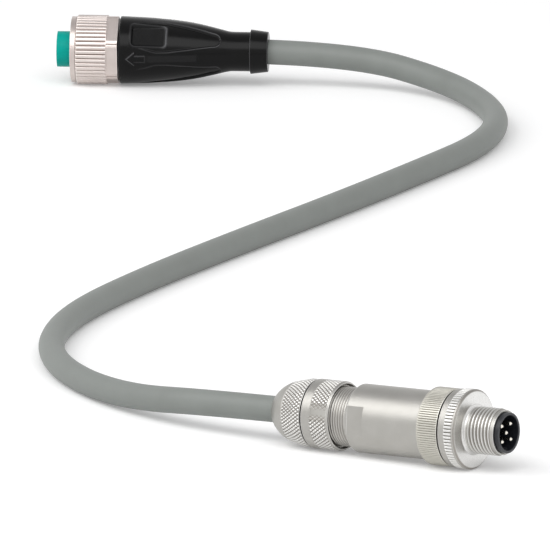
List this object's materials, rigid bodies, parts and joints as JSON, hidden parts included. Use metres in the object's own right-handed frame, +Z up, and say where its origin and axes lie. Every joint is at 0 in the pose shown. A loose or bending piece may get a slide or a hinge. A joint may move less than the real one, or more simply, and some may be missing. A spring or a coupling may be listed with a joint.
{
  "type": "adapter cable",
  "caption": "Adapter cable laid in an S: a black moulded M12 socket with a turning metal nut, a grey round cable and a metal M12 plug with a cable gland.",
  "frame": {"origin": "middle of the box round the two connectors, on the floor they lie on", "axes": "+Z up, +Y from the plug towards the socket, +X to the right when seen from the plug's side"},
  "size_m": [0.1227, 0.5014, 0.0203],
  "materials": {
    "moulding": "black moulded plastic, fine satin grain",
    "teal_insert": "teal moulded plastic, satin",
    "nut_metal": "nickel plate over brass, cast grain on the ribs",
    "plug_metal": "satin nickel plate over turned and knurled brass",
    "cable_sheath": "grey satin cable sheath",
    "seal_rubber": "black sealing rubber",
    "pin_insert_plastic": "black glass-filled plastic",
    "spring_steel": "bright spring steel",
    "core_sleeving": "coloured core insulation",
    "contact_gold": "gold flash over turned brass"
  },
  "bodies": {
    "cable_assembly": {"barrel": "plug_metal", "cable": "cable_sheath", "carrier_ring": "plug_metal", "carrier_seal_ring": "seal_rubber", "core_1": "core_sleeving", "core_2": "core_sleeving", "core_3": "core_sleeving", "core_4": "core_sleeving", "core_5": "core_sleeving", "gland_seal": "seal_rubber", "gland_sleeve": "plug_metal", "grip": "moulding", "insert_clip": "spring_steel", "pin_insert": "pin_insert_plastic", "plug_pin_1": "contact_gold", "plug_pin_2": "contact_gold", "plug_pin_3": "contact_gold", "plug_pin_4": "contact_gold", "plug_pin_5": "contact_gold", "sheath_end": "cable_sheath", "socket_contact_1": "contact_gold", "socket_contact_2": "contact_gold", "socket_contact_3": "contact_gold", "socket_contact_4": "contact_gold", "socket_contact_5": "contact_gold", "socket_insert": "teal_insert", "socket_seal_ring": "seal_rubber"},
    "socket_nut": {"socket_nut": "nut_metal"},
    "coupling_ring": {"coupling_ring": "plug_metal"},
    "thrust_washer": {"thrust_washer": "spring_steel"},
    "gland_nut": {"gland_nut": "plug_metal"}
  },
  "joints": [
    {"name": "socket_nut_spin", "type": "hinge", "parent": "cable_assembly", "child": "socket_nut", "pos_m": [-0.04882, 0.24101, 0.0093], "axis": [-0.9972, 0.075, 0], "continuous": true},
    {"name": "coupling_ring_spin", "type": "hinge", "parent": "cable_assembly", "child": "coupling_ring", "pos_m": [0.04642, -0.23937, 0.01011], "axis": [0.8402, -0.5415, 0.0303], "continuous": true},
    {"name": "gland_travel", "type": "slide", "parent": "cable_assembly", "child": "thrust_washer", "axis": [0.8402, -0.5415, 0.0303], "range_m": [-0.0021, 0]},
    {"name": "gland_nut_turn", "type": "hinge", "parent": "thrust_washer", "child": "gland_nut", "pos_m": [0.00441, -0.2123, 0.00859], "axis": [0.8402, -0.5415, 0.0303], "range_deg": [-720, 0]}
  ],
  "couplings": [
    {"joint": "gland_travel", "follows": "gland_nut_turn", "m_per_rad": 0.00015915}
  ]
}
